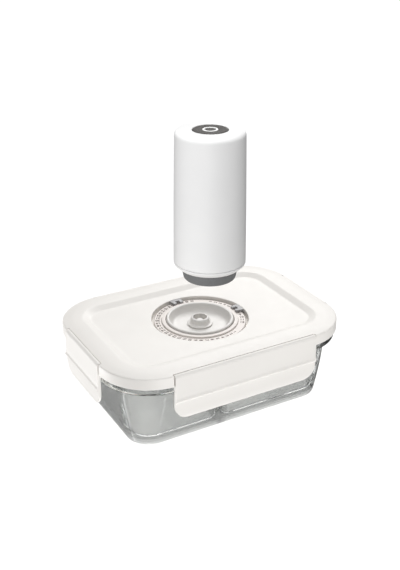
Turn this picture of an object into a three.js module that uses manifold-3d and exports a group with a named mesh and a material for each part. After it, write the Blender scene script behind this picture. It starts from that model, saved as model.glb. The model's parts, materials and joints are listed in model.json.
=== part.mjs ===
// A vacuum food sealer set: a glass box with two compartments, a lid with four latches,
// a date dial and a release valve, and a hand-held vacuum pump that docks on the valve.
// Units are millimetres and +Z is up. The origin is the middle of the glass box's foot.
import * as THREE from "three";
import { mergeVertices } from "three/addons/utils/BufferGeometryUtils.js";
import Module from "manifold-3d";

const wasm = await Module();
wasm.setup();

// ---- driving dimensions ----
const GAP = 0.3; // between pieces that touch
const FINE = 32; // facets round a large turned piece
const COARSE = 16; // facets round a small one
const CORNER_STEPS = 5; // facets round a box corner

const LID = { halfX: 100, halfY: 71.2, corner: 41, skirtBottom: 56.3, top: 65.9, ceiling: 61.3 };
const PANEL = { halfX: 77.2, halfY: 48.4, corner: 15, z: 63.3, slope: 5.1 };
const SKIRT_WALL = 2;

const BOX = { foot: 1.5, floor: 4.6, webTop: 55, webX: -11.6, webWall: 4.6, flangeLow: 50.4, flangeTop: 55.5 };
const RIM_TOP = 58.8;

const DIAL = { radius: 38.1, floor: 59.2, wall: 1.8 };
const DATE_RING = { inner: 27.1, collar: 30, outer: 36.3, top: 61.2, collarTop: 62.5 };
const DISH = { rim: 26.5, body: 25.2, top: 63.9, floor: 58, floorR: 21.2, under: 56.5, stemHole: 3 };
const DISH_VENTS = { count: 4, at: 7, radius: 0.9 };
const POINTER = { inner: 31.2, outer: 37.8, top: 63.3, halfAngle: 7.7, notchAngle: 3, notchR: 34.6 };
const DAY_ANGLE = 94;
const MONTH_ANGLE = 1;
const KNOB = { radius: 7.5, top: 64, flange: 10.1, stem: 2.5, plug: 4, plugLow: 52.5, plugHigh: 54 };
const KNOB_POCKET = { depth: 4.8, radius: 5.5, lobe: 2.1, lobeY: -4.6 };

const LATCH = {
  bead: 2.4, axisIn: 1.3, axisZ: 62.6, crease: 44.2, bottom: 28.5, corner: 11,
  inside: -1.4, proud: 1.1, ridge: 2.4, lip: 0.5, // distances outwards from the lid's face
};
const LONG_LATCH = 120;
const SHORT_LATCH = 60;
const PEG = { radius: 0.7, hole: 1.0, length: 1.6 };

const PUMP = { x: 8.5, z: 97.4, top: 116, topR: 26.1, lowR: 27.6, wall: 2, seam: 14.3 };
const BUTTON = {
  radius: 12.9, hole: 13.3, top: 116.15, lightIn: 3.8, lightOut: 5.75,
  skirt: 14.4, skirtLow: 112.4, skirtTop: 113.9, stem: 2.6, stemLow: 106,
};
const NOZZLE = { lip: 17.7, outer: 21.8, shoulder: 23.1, low: 11.9, top: 13.4, throat: 6.2 };
const CAP = { bottom: 9.4, mouth: 22.2, spigot: 24.8, spigotIn: 23.4, spigotTop: 19 };
const VENTS = { count: 3, pitch: 4, width: 1.6, low: 26, high: 32 };

// The pump, crank and motor stand on one axis inside the pump, each a gap above the last.
const MOTOR_X = -10.6;
const COLUMN = {
  radius: 12.3, bore: 10.8, head: 17.3, headTop: 26, plateTop: 28.8, caseLow: 31.3, caseTop: 46,
};
const MOTOR = { radius: 12, wall: 1, low: 46.3, top: 74, capTop: 77, shaft: 1 };
const ROTOR = { radius: 9.6, low: 49, high: 70 };
const WHEEL = { radius: 5.5, low: 37.8, high: 42.4, throwOff: 1.2 };
const HOSE = { bore: 1.8, outer: 3, low: 15.5, high: 20.1 };
const PLATE = { radius: 23.1, low: 13.7, high: 15.2 };
const FRAME = { radius: 23, low: 15.5, high: 17, deckR: 22.5, deckLow: 95.5, deckHigh: 97, halfWeb: 19 };
const BATTERY = { x: 13.6, radius: 9.2, low: 17.3, length: 65 };
const WEB = { x0: 2.2, x1: 3.9 };
const BOARD = { z: 98, thick: 1.6, radius: 21.5 };
const LED = { x0: 4.2, x1: 7.4, halfY: 1.4, height: 1.2 };
const SOCKET = { halfX: 4.45, z: 99.9, height: 3.2, y0: 17.8, y1: 25.4 };

// ---- solids ----
function solidOf(geometry) {
  const bare = geometry.index ? geometry.toNonIndexed() : geometry.clone();
  bare.deleteAttribute("normal");
  bare.deleteAttribute("uv");
  const merged = mergeVertices(bare, 1e-4);
  const triVerts = new Uint32Array(merged.index.array);
  if (signedVolume(merged) < 0) triVerts.reverse();
  const vertProperties = merged.attributes.position.array;
  return new wasm.Manifold(new wasm.Mesh({ numProp: 3, vertProperties, triVerts }));
}

function signedVolume(geometry) {
  const at = (i) => new THREE.Vector3().fromBufferAttribute(geometry.attributes.position, i);
  const index = geometry.index.array;
  let volume = 0;
  for (let i = 0; i < index.length; i += 3) {
    volume += at(index[i]).dot(at(index[i + 1]).cross(at(index[i + 2])));
  }
  return volume;
}

function geometryOf(solid) {
  const mesh = solid.getMesh();
  const geometry = new THREE.BufferGeometry();
  geometry.setAttribute("position", new THREE.BufferAttribute(mesh.vertProperties, 3));
  geometry.setIndex(new THREE.BufferAttribute(mesh.triVerts, 1));
  geometry.computeVertexNormals();
  return geometry;
}

const join = (...solids) => solids.reduce((a, b) => a.add(b));
const cut = (solid, ...tools) => tools.reduce((a, b) => a.subtract(b), solid);

// A turned piece from [radius, height] points, about a vertical axis at x, y.
function turned(profile, segments = COARSE, x = 0, y = 0) {
  const points = profile.map(([r, z]) => new THREE.Vector2(r, z));
  const closed = profile[0][0] > 0;
  if (closed) points.push(points[0].clone());
  const geometry = new THREE.LatheGeometry(points, segments);
  geometry.rotateX(Math.PI / 2);
  geometry.translate(x, y, 0);
  return solidOf(geometry);
}

function disc(radius, z0, z1, x = 0, y = 0, segments = COARSE) {
  return turned([[0, z0], [radius, z0], [radius, z1], [0, z1]], segments, x, y);
}

function ring(inner, outer, z0, z1, x = 0, y = 0, segments = COARSE) {
  return turned([[inner, z0], [outer, z0], [outer, z1], [inner, z1]], segments, x, y);
}

function box([x0, y0, z0], [x1, y1, z1]) {
  const geometry = new THREE.BoxGeometry(x1 - x0, y1 - y0, z1 - z0);
  geometry.translate((x0 + x1) / 2, (y0 + y1) / 2, (z0 + z1) / 2);
  return solidOf(geometry);
}

function extruded(shape, z0, z1) {
  const options = { depth: z1 - z0, bevelEnabled: false, curveSegments: 4 };
  const geometry = new THREE.ExtrudeGeometry(shape, options);
  geometry.translate(0, 0, z0);
  return solidOf(geometry);
}

// Points round a rectangle with rounded corners, at one height.
function outline({ z, halfX, halfY, corner, x = 0, y = 0 }) {
  const points = [];
  for (let quarter = 0; quarter < 4; quarter++) {
    const sideX = quarter === 0 || quarter === 3 ? 1 : -1;
    const sideY = quarter < 2 ? 1 : -1;
    for (let step = 0; step <= CORNER_STEPS; step++) {
      const angle = ((quarter + step / CORNER_STEPS) * Math.PI) / 2;
      const px = x + sideX * (halfX - corner) + corner * Math.cos(angle);
      const py = y + sideY * (halfY - corner) + corner * Math.sin(angle);
      points.push(new THREE.Vector3(px, py, z));
    }
  }
  return points;
}

// A closed body through a stack of outlines, from the lowest to the highest.
function lofted(outlines) {
  const rings = outlines.map(outline);
  const count = rings[0].length;
  const index = [];
  for (let level = 0; level + 1 < rings.length; level++) {
    for (let i = 0; i < count; i++) {
      const next = (i + 1) % count;
      const [a, b] = [level * count + i, level * count + next];
      index.push(a, b, b + count, a, b + count, a + count);
    }
  }
  const last = (rings.length - 1) * count;
  for (let i = 1; i + 1 < count; i++) {
    index.push(0, i + 1, i, last, last + i, last + i + 1);
  }
  const geometry = new THREE.BufferGeometry().setFromPoints(rings.flat());
  geometry.setIndex(index);
  return solidOf(geometry);
}

const grown = (o, by, z) => ({
  ...o, z, halfX: o.halfX + by, halfY: o.halfY + by, corner: o.corner + by,
});

// ---- the group ----
const sealer = new THREE.Group();
const pump = new THREE.Group();
pump.position.set(PUMP.x, 0, PUMP.z);
sealer.add(pump);

const LOOKS = {
  glass: { color: 0xb9bbb9, roughness: 0.05, metalness: 0, transparent: true, opacity: 0.4 },
  lidWhite: { color: 0xf1eee9, roughness: 0.45, metalness: 0 },
  pumpWhite: { color: 0xf4f4f4, roughness: 0.4, metalness: 0 },
  warmGrey: { color: 0xe4e1dc, roughness: 0.5, metalness: 0 },
  softGrey: { color: 0x6c6f70, roughness: 0.7, metalness: 0 },
  buttonGrey: { color: 0x55534f, roughness: 0.6, metalness: 0 },
  clipGrey: { color: 0xb9b9bd, roughness: 0.5, metalness: 0 },
  seal: { color: 0xd8d8d6, roughness: 0.7, metalness: 0 },
  frameBlack: { color: 0x2b2c2e, roughness: 0.6, metalness: 0 },
  board: { color: 0x1f5c3a, roughness: 0.5, metalness: 0.1 },
  steel: { color: 0xb8babd, roughness: 0.3, metalness: 1 },
  copper: { color: 0x8a4a2a, roughness: 0.4, metalness: 0.8 },
  cell: { color: 0x2d5fa8, roughness: 0.4, metalness: 0.1 },
};

function piece(parent, name, look, solid) {
  const mesh = new THREE.Mesh(geometryOf(solid), new THREE.MeshStandardMaterial(LOOKS[look]));
  mesh.name = name;
  parent.add(mesh);
  return mesh;
}

// ---- glass box ----
function glassContainer() {
  const body = lofted([
    { z: 0, halfX: 80, halfY: 51.8, corner: 15.5 },
    { z: BOX.foot, halfX: 82.5, halfY: 54.3, corner: 18 },
    { z: 30, halfX: 88, halfY: 60, corner: 26 },
    { z: 46.5, halfX: 90, halfY: 62, corner: 30 },
    { z: 49.4, halfX: 93, halfY: 64.6, corner: 33.5 },
    { z: BOX.flangeLow, halfX: 97.6, halfY: 68.6, corner: 38.5 },
    { z: 51.4, halfX: 98.5, halfY: 69.5, corner: 39.5 },
    { z: BOX.flangeTop - 0.6, halfX: 98.5, halfY: 69.5, corner: 39.5 },
    { z: BOX.flangeTop, halfX: 97.9, halfY: 68.9, corner: 38.9 },
  ]);
  const neck = lofted([
    { z: 54, halfX: 95.5, halfY: 66.7, corner: 36.7 },
    { z: RIM_TOP, halfX: 95.5, halfY: 66.7, corner: 36.7 },
  ]);
  const mouth = lofted([
    { z: BOX.webTop, halfX: 86, halfY: 58, corner: 26 },
    { z: RIM_TOP + 1, halfX: 87.5, halfY: 59.5, corner: 27.5 },
  ]);
  return cut(join(body, neck), mouth, compartment(-1), compartment(1));
}

// The hollow on one side of the dividing web. It narrows towards the floor.
function compartment(side) {
  const webFace = BOX.webX + (side * BOX.webWall) / 2;
  const level = (z, reach, halfY, corner, lean) => {
    const near = webFace + side * lean;
    const far = side * reach;
    return { z, halfX: Math.abs(far - near) / 2, halfY, corner, x: (far + near) / 2 };
  };
  return lofted([
    level(BOX.floor, 76.2, 48.2, 12, 2.4),
    level(BOX.floor + 3, 79.4, 51.4, 15, 0.8),
    level(30, 83.4, 55.4, 19, 0.4),
    level(BOX.webTop + 1, 86, 58, 20, 0),
  ]);
}

// ---- lid ----
function lidShell() {
  const edge = { halfX: LID.halfX, halfY: LID.halfY, corner: LID.corner };
  const panelRim = { halfX: PANEL.halfX, halfY: PANEL.halfY, corner: PANEL.corner };
  const top = lofted([
    grown(edge, 0, LID.skirtBottom),
    grown(edge, 0, 64.2),
    grown(edge, -0.8, 64.9),
    { z: 65.6, halfX: 92, halfY: 63.2, corner: 31 },
    grown(panelRim, PANEL.slope, LID.top),
  ]);
  const panel = lofted([grown(panelRim, 0, PANEL.z), grown(panelRim, PANEL.slope + 0.6, LID.top + 0.4)]);
  const under = lofted([
    grown(edge, -SKIRT_WALL, LID.skirtBottom - 1),
    grown(edge, -SKIRT_WALL, LID.ceiling),
  ]);
  const wellFloor = DIAL.floor - DIAL.wall;
  const well = disc(DIAL.radius + DIAL.wall, wellFloor, PANEL.z - 0.5, 0, 0, FINE);
  const recess = disc(DIAL.radius, DIAL.floor, LID.top, 0, 0, FINE);
  const throat = disc(DISH.body + 0.4, wellFloor - 1, DIAL.floor + 1, 0, 0, FINE);
  let shell = cut(join(cut(top, panel, under), well), recess, throat);
  for (const place of LATCH_PLACES) shell = cut(shell, latchPocket(place));
  return shell;
}

function lidGasket() {
  const outer = { halfX: 95, halfY: 66.2, corner: 36.2 };
  const inner = { halfX: 87.5, halfY: 58.7, corner: 28.7 };
  const low = RIM_TOP + GAP;
  const high = LID.ceiling - GAP;
  const body = lofted([grown(outer, 0, low), grown(outer, 0, high)]);
  return cut(body, lofted([grown(inner, 0, low - 1), grown(inner, 0, high + 1)]));
}

function valveDish() {
  const { rim, body, top, floor, floorR, under, stemHole } = DISH;
  const seat = DIAL.floor + GAP;
  const bowl = turned([
    [stemHole, under], [body - 1.2, under], [body, under + 0.7], [body, seat], [rim, seat],
    [rim, top - 0.9], [rim - 0.4, top - 0.2], [rim - 1, top], [rim - 2.3, top - 0.2], [rim - 3, top - 1.3],
    [floorR + 1.4, floor + 1.6], [floorR, floor], [stemHole, floor],
  ], FINE);
  const vents = [];
  for (let i = 0; i < DISH_VENTS.count; i++) {
    const angle = ((i + 0.5) * 2 * Math.PI) / DISH_VENTS.count;
    const [x, y] = [DISH_VENTS.at * Math.cos(angle), DISH_VENTS.at * Math.sin(angle)];
    vents.push(disc(DISH_VENTS.radius, under - 1, floor + 1, x, y, 8));
  }
  return cut(bowl, ...vents);
}

// The numbered track, with a raised collar inside it.
function dateRing() {
  const { inner, collar, outer, top, collarTop } = DATE_RING;
  const low = DIAL.floor + GAP;
  return turned([
    [inner, low], [outer, low], [outer, top], [collar, top], [collar, collarTop], [inner, collarTop],
  ], FINE);
}

// A clip that slides round the dial, with two prongs towards the centre. It hangs on
// the gap outside the date ring. It is drawn at angle 0 and its group turns it.
function datePointer() {
  const { inner, outer, top, halfAngle, notchAngle, notchR } = POINTER;
  const wide = THREE.MathUtils.degToRad(halfAngle);
  const notch = THREE.MathUtils.degToRad(notchAngle);
  const saddle = new THREE.Shape();
  saddle.absarc(0, 0, outer, -wide, wide, false);
  saddle.absarc(0, 0, inner, wide, notch, true);
  saddle.absarc(0, 0, notchR, notch, -notch, true);
  saddle.absarc(0, 0, inner, -notch, -wide, true);
  const skirt = new THREE.Shape();
  skirt.absarc(0, 0, outer, -wide, wide, false);
  skirt.absarc(0, 0, DATE_RING.outer + 0.4, wide, -wide, true);
  const low = DATE_RING.top + GAP;
  return join(extruded(saddle, low, top), extruded(skirt, DIAL.floor + 0.4, low + 0.2));
}

function releaseValve() {
  const { radius, top, flange, stem, plug, plugLow, plugHigh } = KNOB;
  const seat = DISH.floor + GAP;
  const body = turned([
    [0, plugLow], [plug - 0.6, plugLow], [plug, plugLow + 0.5], [plug, plugHigh], [stem, plugHigh + 0.3],
    [stem, seat], [flange - 0.7, seat], [flange, seat + 0.3], [flange, seat + 0.7], [flange - 0.5, seat + 1],
    [radius + 0.4, seat + 1.2], [radius, seat + 1.7], [radius, top - 0.8], [radius - 0.7, top], [0, top],
  ], FINE);
  const { depth, radius: pocketR, lobe, lobeY } = KNOB_POCKET;
  const pocket = disc(pocketR, top - depth, top + 1, 0, 0, 24);
  return cut(body, cut(pocket, disc(lobe, 0, top + 2, 0, lobeY)));
}

// ---- latches ----
// Each place gives the side that the latch is on, as a turn about Z from the front.
const LATCH_PLACES = [
  { name: "front_latch", turn: 0, face: LID.halfY, length: LONG_LATCH },
  { name: "right_latch", turn: 90, face: LID.halfX, length: SHORT_LATCH },
  { name: "back_latch", turn: 180, face: LID.halfY, length: LONG_LATCH },
  { name: "left_latch", turn: 270, face: LID.halfX, length: SHORT_LATCH },
];

// Lays a solid drawn with u outwards, z up and its length along the side onto that side.
function onSide(solid, { turn, face }) {
  return solid.translate([0, -face, 0]).rotate([0, 0, turn]);
}

// A section drawn in u, z and stretched along the latch, centred on its middle.
function alongSide(shape, length) {
  const geometry = new THREE.ExtrudeGeometry(shape, {
    depth: length, bevelEnabled: false, curveSegments: 4,
  });
  const basis = new THREE.Matrix4().makeBasis(
    new THREE.Vector3(0, -1, 0), new THREE.Vector3(0, 0, 1), new THREE.Vector3(-1, 0, 0),
  );
  geometry.applyMatrix4(basis);
  geometry.translate(length / 2, 0, 0);
  return solidOf(geometry);
}

function latch({ turn, face, length }) {
  const { proud, bead, axisIn, axisZ, crease, bottom, corner, inside, lip, ridge } = LATCH;
  const section = new THREE.Shape();
  section.absarc(-axisIn, axisZ, bead, 0, Math.PI * 1.02, false);
  section.lineTo(inside - 1.0, axisZ - 2.0);
  section.lineTo(inside, axisZ - 3.4);
  section.lineTo(inside, bottom + 0.6);
  section.lineTo(inside + 0.6, bottom);
  section.lineTo(lip - 0.5, bottom);
  section.lineTo(lip, bottom + 0.6);
  section.quadraticCurveTo(lip - 0.3, crease - 6, lip + 0.8, crease - 2.4);
  section.lineTo(ridge, crease - 0.6);
  section.lineTo(ridge, crease);
  section.lineTo(proud + 0.4, crease + 1.6);
  section.lineTo(proud, axisZ - 3);
  const bar = alongSide(section, length);
  const half = length / 2;
  const front = new THREE.Shape();
  front.moveTo(-half, axisZ + 5);
  front.lineTo(-half, bottom + corner);
  front.absarc(-half + corner, bottom + corner, corner, Math.PI, Math.PI * 1.5, false);
  front.absarc(half - corner, bottom + corner, corner, -Math.PI / 2, 0, false);
  front.lineTo(half, axisZ + 5);
  const mask = extruded(front, -10, 10).rotate([90, 0, 0]);
  const pegs = pinAlong(PEG.radius, half + PEG.length);
  return onSide(join(bar.intersect(mask), pegs), { turn, face });
}

function pinAlong(radius, half) {
  const pin = disc(radius, -half, half, 0, 0, 10).rotate([0, 90, 0]);
  return pin.translate([0, LATCH.axisIn, LATCH.axisZ]);
}

function latchPocket({ turn, face, length }) {
  const half = length / 2 + 0.4;
  const back = SKIRT_WALL + 0.2;
  const skirtGap = box([-half, -3, LID.skirtBottom - 2], [half, back, LATCH.axisZ]);
  const channel = disc(LATCH.bead + 0.4, -half, half, 0, 0, 24).rotate([0, 90, 0]);
  const placed = channel.translate([0, LATCH.axisIn, LATCH.axisZ]);
  const open = box([-half, -3, LATCH.axisZ - 1], [half, LATCH.axisIn - 1.9, LID.top]);
  const holes = pinAlong(PEG.hole, half + PEG.length + 0.2);
  return onSide(join(skirtGap, placed, open, holes), { turn, face });
}

// ---- pump outside ----
function pumpHousing() {
  const { top, topR, lowR, wall, seam } = PUMP;
  const deck = top - 1.8;
  const shell = turned([
    [lowR, seam], [lowR - 0.5, 60], [topR, top - 4], [topR - 0.3, top - 2.4], [topR - 1.2, top - 1.1],
    [topR - 2.5, top - 0.3], [topR - 4, top], [BUTTON.hole, top], [BUTTON.hole, deck],
    [topR - 5, deck - 0.2], [topR - 2.9, deck - 1.6], [topR - wall, top - 6], [lowR - wall - 0.5, 60],
    [lowR - wall, seam],
  ], FINE);
  const margin = 0.4;
  const port = box(
    [-SOCKET.halfX - margin, 20, SOCKET.z - margin],
    [SOCKET.halfX + margin, 30, SOCKET.z + SOCKET.height + margin],
  );
  const vents = [];
  for (let i = 0; i < VENTS.count; i++) {
    const x = (i - (VENTS.count - 1) / 2) * VENTS.pitch;
    vents.push(box([x - VENTS.width / 2, 20, VENTS.low], [x + VENTS.width / 2, 30, VENTS.high]));
  }
  return cut(shell, port, ...vents);
}

function baseCap() {
  const { lowR, seam } = PUMP;
  const { bottom, mouth, spigot, spigotIn, spigotTop } = CAP;
  const inside = bottom + 2.2;
  return turned([
    [mouth, bottom], [mouth + 2.1, bottom], [mouth + 2.5, bottom + 0.3], [lowR - 0.6, bottom + 2.5],
    [lowR, bottom + 3.5], [lowR, seam - GAP], [spigot, seam - GAP], [spigot, spigotTop],
    [spigotIn, spigotTop], [spigotIn, inside], [mouth, inside],
  ], FINE);
}

function suctionNozzle() {
  const { lip, outer, shoulder, low, top, throat } = NOZZLE;
  return turned([
    [lip, 0], [lip + 2, 0], [lip + 2.5, 0.5], [outer, 9.3], [outer, low], [shoulder, low], [shoulder, top],
    [throat, top], [throat, 11], [14.5, 11], [15.4, 10.2], [lip - 0.7, 1],
  ], FINE);
}

function powerButton() {
  const { radius, top, lightIn, lightOut, skirt, skirtLow, skirtTop, stem, stemLow } = BUTTON;
  const cap = turned([
    [0, stemLow], [stem, stemLow], [stem, skirtLow], [skirt, skirtLow], [skirt, skirtTop], [radius, skirtTop],
    [radius, top - 0.4], [radius - 0.4, top], [0, top],
  ], FINE);
  return cut(cap, ring(lightIn - GAP, lightOut + GAP, top - 1.3, top + 1, 0, 0, 24));
}

function buttonLightRing() {
  const { top, lightIn, lightOut } = BUTTON;
  return ring(lightIn, lightOut, top - 1, top, 0, 0, 24);
}

// ---- pump inside ----
const PLATE_SCREWS = [[5, 17.5], [5, -17.5]];
const BOARD_SCREWS = [[14, -12], [-14, -12]];

function inletPlate() {
  const { radius, low, high } = PLATE;
  const barb = disc(1.5, high - 0.2, high + 2.2, MOTOR_X, 0, 12);
  const channel = box([MOTOR_X, -1, low - 0.7], [0, 1, low + 0.8]);
  const bore = disc(0.7, low - 0.7, high + 3, MOTOR_X, 0, 8);
  const seats = PLATE_SCREWS.map(([x, y]) =>
    join(disc(2.5, low - 0.7, low + 0.9, x, y, 8), disc(1.3, low - 0.7, high + 1, x, y, 8)),
  );
  return cut(join(disc(radius, low, high, 0, 0, 32), barb), channel, bore, ...seats);
}

function filterScreen() {
  const [radius, low, high, holeR, ringR, count] = [5.9, 11.3, 12.3, 0.9, 3.6, 6];
  const holes = [disc(holeR, low - 1, high + 1, 0, 0, 6)];
  for (let i = 0; i < count; i++) {
    const angle = (i * 2 * Math.PI) / count;
    holes.push(disc(holeR, low - 1, high + 1, ringR * Math.cos(angle), ringR * Math.sin(angle), 6));
  }
  return cut(disc(radius, low, high), ...holes);
}

function innerFrame() {
  const { radius, low, high, deckR, deckLow, deckHigh, halfWeb } = FRAME;
  const base = disc(radius, low, high, 0, 0, 32);
  const web = box([WEB.x0, -halfWeb, high - 0.5], [WEB.x1, halfWeb, deckLow + 0.5]);
  const deck = disc(deckR, deckLow, deckHigh, 0, 0, 32);
  const plateBosses = PLATE_SCREWS.map(([x, y]) => disc(2.4, low + 0.5, low + 6.5, x, y, 8));
  const boardPosts = BOARD_SCREWS.map(([x, y]) => disc(2.2, deckLow + 0.5, BOARD.z - GAP, x, y, 8));
  const plateBores = PLATE_SCREWS.map(([x, y]) => disc(1.3, low - 0.5, low + 5.5, x, y, 8));
  const boardBores = BOARD_SCREWS.map(([x, y]) => disc(1.2, deckLow - 0.5, BOARD.z + 1, x, y, 8));
  const hoseHole = disc(HOSE.outer + GAP, low - 0.5, high + 1, MOTOR_X, 0, 16);
  const frame = join(base, web, deck, ...plateBosses, ...boardPosts);
  return cut(frame, hoseHole, ...plateBores, ...boardBores);
}

function screw(x, y, headR, headLow, headHigh, tip) {
  const shankR = headR * 0.45;
  const [low, high] = tip < headLow ? [tip, headLow + 0.1] : [headHigh - 0.1, tip];
  return join(disc(headR, headLow, headHigh, x, y, 12), disc(shankR, low, high, x, y, 8));
}

function controlBoard() {
  const { z, thick, radius } = BOARD;
  const holes = BOARD_SCREWS.map(([x, y]) => disc(1.3, z - 1, z + thick + 1, x, y, 8));
  return cut(disc(radius, z, z + thick, 0, 0, 32), ...holes);
}

function tactSwitch() {
  const low = BOARD.z + BOARD.thick + GAP;
  return join(box([-3, -3, low], [3, 3, low + 3.6]), disc(1.7, low + 3, low + 4.7, 0, 0, 12));
}

function statusLed() {
  const low = BOARD.z + BOARD.thick + GAP;
  return box([LED.x0, -LED.halfY, low], [LED.x1, LED.halfY, low + LED.height]);
}

function chargingSocket() {
  const { halfX, z, height, y0, y1 } = SOCKET;
  const body = box([-halfX, y0, z], [halfX, y1, z + height]);
  const mouth = box([-halfX + 0.4, y0 + 2, z + 0.4], [halfX - 0.4, y1 + 1, z + height - 0.4]);
  const tongue = box([-3.3, y0 + 1, z + 1.25], [3.3, y1 - 0.8, z + 1.95]);
  return join(cut(body, mouth), tongue);
}

function motorColumn(profile, segments = 16) {
  return turned(profile, segments, MOTOR_X, 0);
}

function pumpHead() {
  const { radius, head, headTop } = COLUMN;
  const [inletR, outletR, step] = [3.4, 0.8, head + 3.1];
  return motorColumn([
    [inletR, head], [radius, head], [radius, headTop], [outletR, headTop], [outletR, step], [inletR, step],
  ]);
}

function valvePlate() {
  const { radius, headTop, plateTop } = COLUMN;
  const plate = disc(radius, headTop + GAP, plateTop, MOTOR_X, 0);
  const ports = [-5, 0, 5].map((dy) => disc(0.9, headTop, plateTop + 1, MOTOR_X, dy, 8));
  return cut(plate, ...ports);
}

// A flat rim with a raised convolution, and a boss that the wobble plate works.
function diaphragm() {
  const low = COLUMN.plateTop + GAP;
  const high = COLUMN.caseLow - GAP;
  return motorColumn([
    [0, low], [6, low], [7.5, low + 0.4], [9, low], [COLUMN.radius, low], [COLUMN.radius, high],
    [8.5, high], [5, high - 0.2], [3.5, high + 2], [0, high + 2],
  ]);
}

function crankCase() {
  const { radius, bore, caseLow, caseTop } = COLUMN;
  const roof = caseTop - 1.5;
  return motorColumn([
    [bore, caseLow], [radius, caseLow], [radius, caseTop], [3, caseTop], [3, roof], [bore, roof],
  ]);
}

function wobblePlate() {
  const low = COLUMN.caseLow + 2.1;
  const high = low + 3.8;
  return motorColumn([[0, low], [8, low], [8, low + 1.4], [2.6, low + 1.8], [2.4, high], [0, high]]);
}

// The wheel's outline sits off the shaft's axis, which is what works the diaphragm.
function eccentricWheel() {
  const { radius, low, high, throwOff } = WHEEL;
  const bore = disc(MOTOR.shaft + GAP, low - 1, high + 1, MOTOR_X, 0, 12);
  return cut(disc(radius, low, high, MOTOR_X + throwOff, 0, 24), bore);
}

function motorShaft() {
  return disc(MOTOR.shaft, WHEEL.low + 0.6, MOTOR.capTop + 0.2, MOTOR_X, 0, 12);
}

function rotor() {
  const { radius, low, high } = ROTOR;
  const bore = MOTOR.shaft + GAP;
  return motorColumn([
    [bore, low], [radius, low], [radius, high], [6, high + 1], [bore, high + 1],
  ]);
}

function motorCan() {
  const { radius, wall, low, top } = MOTOR;
  return motorColumn([
    [2, low], [radius, low], [radius, top], [radius - wall, top], [radius - wall, low + 1.2], [2, low + 1.2],
  ]);
}

function motorEndcap() {
  const { radius, top, capTop, shaft } = MOTOR;
  const [low, bore] = [top + GAP, shaft + 0.4];
  return motorColumn([[bore, low], [radius, low], [radius, capTop], [4, capTop + 0.8], [bore, capTop + 0.8]]);
}

function suctionHose() {
  return ring(HOSE.bore, HOSE.outer, HOSE.low, HOSE.high, MOTOR_X, 0);
}

function batteryCell() {
  const { x, radius, low, length } = BATTERY;
  const high = low + length;
  const button = 3;
  return turned([
    [0, low], [radius, low], [radius, high - 1.2], [button, high - 1], [button, high], [0, high],
  ], COARSE, x, 0);
}

// ---- assembly ----
piece(sealer, "glass_container", "glass", glassContainer());
piece(sealer, "lid_shell", "lidWhite", lidShell());
piece(sealer, "lid_gasket", "seal", lidGasket());
piece(sealer, "valve_dish", "warmGrey", valveDish());
piece(sealer, "date_ring", "lidWhite", dateRing());
piece(sealer, "release_valve", "warmGrey", releaseValve());
for (const place of LATCH_PLACES) piece(sealer, place.name, "lidWhite", latch(place));
for (const [name, angle] of [["day_pointer", DAY_ANGLE], ["month_pointer", MONTH_ANGLE]]) {
  piece(sealer, name, "clipGrey", datePointer()).rotation.z = THREE.MathUtils.degToRad(angle);
}

piece(pump, "pump_housing", "pumpWhite", pumpHousing());
piece(pump, "base_cap", "pumpWhite", baseCap());
piece(pump, "suction_nozzle", "softGrey", suctionNozzle());
piece(pump, "filter_screen", "steel", filterScreen());
piece(pump, "inlet_plate", "frameBlack", inletPlate());
piece(pump, "suction_hose", "seal", suctionHose());
piece(pump, "inner_frame", "frameBlack", innerFrame());
piece(pump, "pump_head", "frameBlack", pumpHead());
piece(pump, "valve_plate", "warmGrey", valvePlate());
piece(pump, "diaphragm", "softGrey", diaphragm());
piece(pump, "wobble_plate", "warmGrey", wobblePlate());
piece(pump, "crank_case", "frameBlack", crankCase());
piece(pump, "motor_can", "steel", motorCan());
piece(pump, "motor_endcap", "frameBlack", motorEndcap());
piece(pump, "rotor", "copper", rotor());
piece(pump, "motor_shaft", "steel", motorShaft());
piece(pump, "eccentric_wheel", "warmGrey", eccentricWheel());
piece(pump, "battery_cell", "cell", batteryCell());
piece(pump, "control_board", "board", controlBoard());
piece(pump, "tact_switch", "frameBlack", tactSwitch());
piece(pump, "status_led", "seal", statusLed());
piece(pump, "charging_socket", "steel", chargingSocket());
piece(pump, "power_button", "buttonGrey", powerButton());
piece(pump, "button_light_ring", "seal", buttonLightRing());
PLATE_SCREWS.forEach(([x, y], i) => {
  piece(pump, "plate_screw_" + (i + 1), "steel", screw(x, y, 2.1, PLATE.low + 0.1, PLATE.low + 0.6, 20));
});
BOARD_SCREWS.forEach(([x, y], i) => {
  const seat = BOARD.z + BOARD.thick + GAP;
  piece(pump, "board_screw_" + (i + 1), "steel", screw(x, y, 1.9, seat, seat + 1.2, 96.4));
});

export default sealer;
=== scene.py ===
"""A vacuum sealer set: a hand-held pump above the valve lid of a two-compartment glass box.

Shapes are drawn in millimetres in the part's own frame and scaled to metres when they become objects.
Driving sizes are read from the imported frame.
"""
import json
import math

import bmesh
import bpy
import numpy as np
from mathutils import Matrix, Vector

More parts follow.
